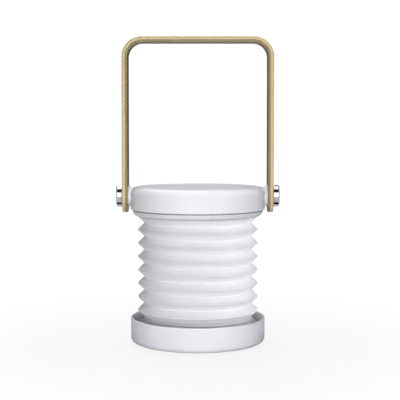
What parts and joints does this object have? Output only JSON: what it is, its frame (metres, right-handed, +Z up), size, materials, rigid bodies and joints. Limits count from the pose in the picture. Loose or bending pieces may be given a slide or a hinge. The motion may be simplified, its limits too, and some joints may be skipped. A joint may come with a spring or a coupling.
{
  "type": "folding lantern",
  "caption": "Table lantern with a pleated paper shade that folds flat between a round head and a weighted cup base, and a bent-wood carrying bow on screw pivots.",
  "frame": {"origin": "centre of the foot pad's underside, on the shade's axis", "axes": "+Z up along the shade; X along the bow's pivot line; +Y towards the back, where the charging socket is"},
  "size_m": [0.1364, 0.112, 0.2543],
  "materials": {
    "white_shell": "fine satin",
    "white_inner": "satin",
    "grey_inner": "satin",
    "opal_lens": "frosted",
    "shade_paper": "fibrous, translucent",
    "foot_rubber": "matte",
    "ballast_steel": "zinc plated",
    "foam": "closed cell foam",
    "bent_wood": "clear varnish",
    "polished_chrome": "polished",
    "zinc_steel": "zinc plated",
    "washer_nylon": "satin",
    "bush_brass": "turned",
    "felt": "felt",
    "board_aluminium": "white coated",
    "light_chips": "phosphor resin",
    "circuit_board": "solder mask",
    "black_chips": "moulded",
    "battery_foil": "foil pouch",
    "socket_steel": "nickel plated",
    "clear_rod": "clear",
    "copper": "bare foil",
    "spring_steel": "drawn wire",
    "red_lead": "insulation",
    "black_lead": "insulation"
  },
  "bodies": {
    "base": {"base_cup": "white_shell", "base_cover": "white_shell", "base_cover_screws": "zinc_steel", "ballast_plate": "ballast_steel", "ballast_pad": "foam", "foot_pad": "foot_rubber", "shade_clamp_lower": "white_inner", "shade_clamp_lower_screws": "zinc_steel", "shade": "shade_paper"},
    "head": {"head_cover": "white_shell", "head_chassis": "white_shell", "head_screws": "zinc_steel", "shade_clamp_upper": "white_inner", "shade_clamp_upper_screws": "zinc_steel", "diffuser": "opal_lens", "led_carrier": "white_inner", "led_carrier_screws": "zinc_steel", "led_board": "board_aluminium", "led_chips": "light_chips", "battery_frame": "grey_inner", "battery_frame_screws": "zinc_steel", "battery_cell": "battery_foil", "battery_tape": "foam", "control_board": "circuit_board", "control_board_screws": "zinc_steel", "control_parts": "black_chips", "usb_socket": "socket_steel", "charge_light": "clear_rod", "touch_plate": "copper", "touch_spring": "spring_steel", "battery_lead_red": "red_lead", "battery_lead_black": "black_lead", "light_lead_red": "red_lead", "light_lead_black": "black_lead", "pivot_screw_left": "polished_chrome", "pivot_screw_right": "polished_chrome", "pivot_nut_left": "zinc_steel", "pivot_nut_right": "zinc_steel", "pivot_washer_left": "washer_nylon", "pivot_washer_right": "washer_nylon"},
    "bow": {"handle_bow": "bent_wood", "pivot_bush_left": "bush_brass", "pivot_bush_right": "bush_brass", "pivot_felt_left": "felt", "pivot_felt_right": "felt"}
  },
  "joints": [
    {"name": "shade_fold", "type": "slide", "parent": "base", "child": "head", "axis": [0, 0, -1], "range_m": [0, 0.09], "deforming": ["shade"]},
    {"name": "bow_swing", "type": "hinge", "parent": "head", "child": "bow", "pos_m": [0, 0, 0.12243], "axis": [1, 0, 0], "range_deg": [-99, 99]}
  ]
}
